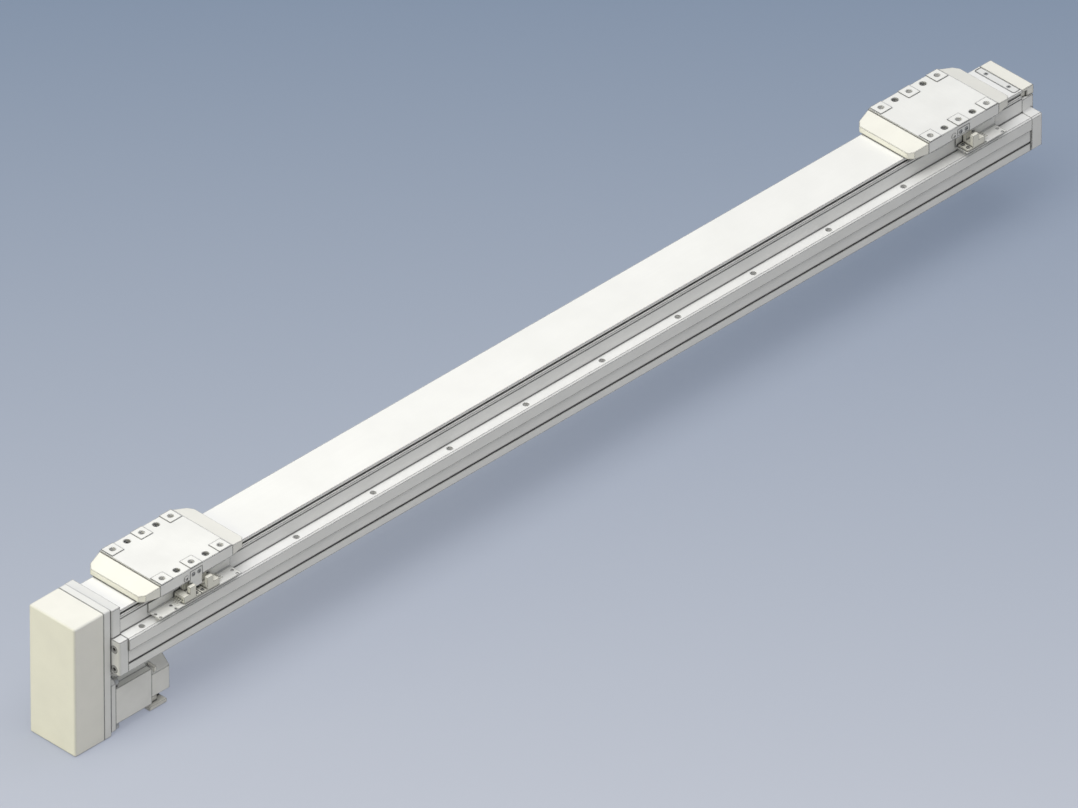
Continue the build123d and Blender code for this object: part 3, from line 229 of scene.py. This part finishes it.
DRAWN_ALONG_X = (0.02, 1, 1)
MILLED_ALONG_Y = (1, 0.05, 1)
MILLED_ALONG_Z = (1, 1, 0.05)
PALE = (0.84, 0.83, 0.78)
materials = {
    "rail": metal(
        "rail_anodised", (0.83, 0.83, 0.82), metallic=0.05, rough=0.44, stretch=DRAWN_ALONG_X,
        grain=700.0, relief=0.08, spread=0.025,
    ),
    "cover": metal(
        "cover_anodised", (0.88, 0.88, 0.87), metallic=0.03, rough=0.42, stretch=DRAWN_ALONG_X,
        grain=500.0, relief=0.05, spread=0.02,
    ),
    "machined": metal(
        "machined_aluminium", (0.82, 0.82, 0.81), metallic=0.07, rough=0.42,
        stretch=MILLED_ALONG_Z, grain=800.0,
    ),
    "table": metal(
        "table_anodised", (0.86, 0.86, 0.85), metallic=0.04, rough=0.43, stretch=MILLED_ALONG_Y,
    ),
    "cast": metal(
        "motor_end_casting", (0.80, 0.80, 0.79), metallic=0.12, rough=0.48, grain=1200.0,
        relief=0.2,
    ),
    "ground": metal(
        "ground_steel", (0.70, 0.70, 0.71), metallic=0.85, rough=0.22, stretch=DRAWN_ALONG_X,
        relief=0.04, line=FINE_LINE,
    ),
    "plated": metal(
        "plated_steel", (0.86, 0.86, 0.84), metallic=0.12, rough=0.38, grain=300.0, relief=0.04,
        line=FINE_LINE,
    ),
    "fastener": metal(
        "fastener_steel", (0.52, 0.52, 0.51), metallic=0.45, rough=0.38, grain=1500.0,
        line=FINE_LINE,
    ),
    "motor": plastic("motor_paint", (0.84, 0.84, 0.82), rough=0.44, grain=1100.0, relief=0.16),
    "pale": plastic("pale_moulding", PALE, rough=0.46, spread=0.02),
    "lid": plastic("belt_cover_coat", PALE, rough=0.42, grain=900.0, relief=0.10, spread=0.02),
    "encoder": plastic(
        "encoder_moulding", (0.82, 0.82, 0.80), rough=0.48, grain=1300.0, relief=0.16
    ),
    "sensor": plastic(
        "sensor_moulding", (0.78, 0.77, 0.70), rough=0.50, grain=1600.0, relief=0.14,
        line=FINE_LINE,
    ),
    "connector": plastic(
        "connector_moulding", PALE, rough=0.50, grain=1600.0, relief=0.14, line=FINE_LINE
    ),
    "rubber": plastic("bumper_rubber", (0.05, 0.05, 0.05), rough=0.70, grain=1500.0, relief=0.3),
    "belt": plastic("belt_rubber", (0.04, 0.04, 0.04), rough=0.62, grain=1500.0, relief=0.3),
}

node_materials = {
    "rail": ["base_rail"],
    "cover": ["top_cover"],
    "machined": [
        "belt_plate", "support_housing", "far_end_plate", "cover_clamp_bar", "saddle_left",
        "saddle_right",
    ],
    "table": ["table_left", "table_right"],
    "cast": ["motor_end_block", "motor_flange"],
    "ground": [
        "guide_rail_left", "guide_rail_right", "ball_screw", "ball_nut_left", "ball_nut_right",
        "guide_blocks_left", "guide_blocks_right", "fixed_bearing_outer_ring",
        "support_bearing_outer_ring", "fixed_bearing_inner_ring", "support_bearing_inner_ring",
        "motor_shaft", "lock_nut", "bearing_retainer", "screw_pulley", "motor_pulley",
    ],
    "plated": [
        "sensor_bracket_left", "sensor_bracket_right", "sensor_dog_left", "sensor_dog_right",
    ],
    "fastener": [
        "end_block_screws", "plate_screws", "belt_cover_screws", "motor_screws",
        "cover_clamp_screws", "far_plate_screws", "sensor_screws",
        "table_screws_left", "table_screws_right", "nut_screws_left", "nut_screws_right",
    ],
    "pale": [
        "outer_end_cap_left", "outer_end_cap_right", "inner_end_cap_left",
        "inner_end_cap_right", "far_end_cap",
    ],
    "lid": ["belt_cover"],
    "motor": ["motor_housing"],
    "encoder": ["encoder_cover"],
    "connector": ["power_connector", "encoder_connector"],
    "sensor": ["home_sensor", "left_limit_sensor", "right_limit_sensor"],
    "rubber": ["bumpers"],
    "belt": ["timing_belt"],
}
for key, names in node_materials.items():
    for name in names:
        data = nodes[name].data
        data.materials.clear()
        data.materials.append(materials[key])


# Pieces made here: the dogs' screws and a plug beside each dog, too fine for the solids
TURN_STEPS = 24
SMOOTH_ANGLE = math.radians(35)
OUTWARD = (0, -1, 0)


def turned(mesh, profile, place):
    """Add a form turned about the outward direction, from (radius, height) steps in mm."""
    turn = Vector((0, 0, 1)).rotation_difference(Vector(OUTWARD)).to_matrix().to_4x4()
    move = Matrix.Translation(place) @ turn
    rings = []
    for radius, height in profile:
        ring = []
        for step in range(TURN_STEPS):
            angle = 2 * math.pi * step / TURN_STEPS
            across = radius * MM
            point = Vector((across * math.cos(angle), across * math.sin(angle), height * MM))
            ring.append(mesh.verts.new(move @ point))
        rings.append(ring)
    for lower, upper in zip(rings, rings[1:]):
        for step in range(TURN_STEPS):
            after = (step + 1) % TURN_STEPS
            mesh.faces.new((lower[step], lower[after], upper[after], upper[step]))
    mesh.faces.new(list(reversed(rings[0])))
    mesh.faces.new(rings[-1])


def turned_piece(name, body, material, profile, places):
    """One object of equal turned forms that rides on a body."""
    mesh = bmesh.new()
    for place in places:
        turned(mesh, profile, place)
    data = bpy.data.meshes.new(name)
    mesh.to_mesh(data)
    mesh.free()
    piece = bpy.data.objects.new(name, data)
    scene.collection.objects.link(piece)
    data.materials.append(materials[material])
    for polygon in data.polygons:
        polygon.use_smooth = True
    data.set_sharp_from_angle(angle=SMOOTH_ANGLE)
    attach(piece, body)


# Steps of radius and height above the face in mm, from the shank's end to the recess
DOG_SCREW = [
    (1.2, -3.5), (1.2, -0.1), (2.1, -0.1), (2.1, 0.35), (1.7, 0.75), (0.9, 0.8), (0.8, 0.3),
]
SIDE_PLUG = [
    (2.0, -1.5), (2.0, -0.1), (2.9, -0.1), (2.9, 0.5), (2.4, 1.0), (1.4, 1.1), (1.2, 0.5),
]
SEAT_DEPTH = 0.1 * MM
DOG_SCREW_SHIFT = 3.75
DOG_SCREW_HEIGHT = 66.5 * MM
PLUG_SHIFT = 5.5 * MM
PLUG_HEIGHT = 66.0 * MM
for side in ("left", "right"):
    low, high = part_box(f"sensor_dog_{side}")
    body = f"carriage_{side}"
    middle = (low.x + high.x) / 2
    face = low.y + SEAT_DEPTH
    screw_places = [
        (middle + shift * MM, face, DOG_SCREW_HEIGHT)
        for shift in (-DOG_SCREW_SHIFT, DOG_SCREW_SHIFT)
    ]
    turned_piece(f"dog_screw_pair_{side}", body, "fastener", DOG_SCREW, screw_places)
    plug_place = (low.x - PLUG_SHIFT, face, PLUG_HEIGHT)
    turned_piece(f"side_plug_{side}", body, "plated", SIDE_PLUG, [plug_place])


# Floor, light and camera
def sheet(name, size, height):
    """A large flat square."""
    mesh = bmesh.new()
    corners = [(-size, -size), (size, -size), (size, size), (-size, size)]
    mesh.faces.new([mesh.verts.new((x, y, height)) for x, y in corners])
    data = bpy.data.meshes.new(name)
    mesh.to_mesh(data)
    mesh.free()
    piece = bpy.data.objects.new(name, data)
    scene.collection.objects.link(piece)
    return piece


def seen_directly(tree):
    """One for rays that show the floor or the sky itself, and zero for the light they give."""
    path = tree.nodes.new("ShaderNodeLightPath")
    total = path.outputs["Is Camera Ray"]
    for name in ("Is Glossy Ray", "Is Transmission Ray"):
        larger = tree.nodes.new("ShaderNodeMath")
        larger.operation = "MAXIMUM"
        tree.links.new(total, larger.inputs[0])
        tree.links.new(path.outputs[name], larger.inputs[1])
        total = larger.outputs[0]
    return total


# The floor runs from light in front to darker behind, along x + y
FLOOR_NEAR, FLOOR_FAR = -0.8, 1.1
NEAR_GLOW = (0.275, 0.295, 0.35)
FAR_GLOW = (0.11, 0.15, 0.225)
NEAR_PAINT = (0.21, 0.22, 0.245)
FAR_PAINT = (0.11, 0.13, 0.16)
FLOOR_BOUNCE = (0.50, 0.50, 0.50)
NO_GLOW = (0, 0, 0)
FLOOR_SIZE = 60.0
FLOOR_GAP = 0.2 * MM
floor_material, tree, shader, place = new_material("pale_floor")
diagonal = tree.nodes.new("ShaderNodeVectorMath")
diagonal.operation = "DOT_PRODUCT"
diagonal.inputs[1].default_value = (1, 1, 0)
tree.links.new(place, diagonal.inputs[0])
shade = ranged(tree, diagonal.outputs["Value"], 0.0, 1.0, FLOOR_NEAR, FLOOR_FAR)
direct = seen_directly(tree)
paint = mixed(tree, shade, NEAR_PAINT, FAR_PAINT)
glow = mixed(tree, shade, NEAR_GLOW, FAR_GLOW)
tree.links.new(mixed(tree, direct, FLOOR_BOUNCE, paint), shader.inputs["Base Color"])
tree.links.new(mixed(tree, direct, NO_GLOW, glow), shader.inputs["Emission Color"])
shader.inputs["Emission Strength"].default_value = 1.0
shader.inputs["Roughness"].default_value = 0.9
floor = sheet("floor", FLOOR_SIZE, solid_bounds[0].z - FLOOR_GAP)
floor.data.materials.append(floor_material)

SKY_LIGHT = (0.92, 0.92, 0.92)
SKY_SEEN = (0.78, 0.95, 1.22)
SKY_STRENGTH = 0.34
world = bpy.data.worlds.new("studio")
scene.world = world
world.use_nodes = True
background = world.node_tree.nodes["Background"]
sky = mixed(world.node_tree, seen_directly(world.node_tree), SKY_LIGHT, SKY_SEEN)
world.node_tree.links.new(sky, background.inputs["Color"])
background.inputs["Strength"].default_value = SKY_STRENGTH


def area_lamp(name, place, aim, size, power, colour):
    """A soft square lamp that looks at a point."""
    data = bpy.data.lights.new(name, "AREA")
    data.size = size
    data.energy = power
    data.color = colour
    lamp = bpy.data.objects.new(name, data)
    lamp.location = place
    lamp.rotation_mode = "QUATERNION"
    lamp.rotation_quaternion = (Vector(aim) - Vector(place)).to_track_quat("-Z", "Y")
    scene.collection.objects.link(lamp)


area_lamp(
    "key", place=(-1.4, -0.3, 3.2), aim=(0, 0, 0), size=2.4, power=58.5, colour=(1.0, 0.99, 0.97)
)
area_lamp(
    "top", place=(0.5, -0.4, 3.6), aim=(0.2, 0, 0), size=3.0, power=54.5, colour=(1.0, 1.0, 1.0)
)
area_lamp(
    "side", place=(-6.8, 1.6, 2.2), aim=(-0.3, 0, 0), size=4.0, power=160.0,
    colour=(1.0, 0.965, 0.57),
)

# A long lens along the photo's isometric direction
LENS = 1200.0
SENSOR = 36.0
FRAME_WIDTH = 1.003
CLIP_START = 1.0
CLIP_END = 200.0
camera_data = bpy.data.cameras.new("camera")
camera_data.lens = LENS
camera_data.sensor_width = SENSOR
camera_data.clip_start = CLIP_START
camera_data.clip_end = CLIP_END
camera = bpy.data.objects.new("camera", camera_data)
aim = Vector((-5.0, -8.1, 1.5)) * MM
back = Vector((-1, -1, 1)).normalized()
camera.location = aim + back * (FRAME_WIDTH * LENS / SENSOR)
camera.rotation_mode = "QUATERNION"
camera.rotation_quaternion = (-back).to_track_quat("-Z", "Y")
scene.collection.objects.link(camera)
scene.camera = camera

scene.view_settings.view_transform = "Standard"
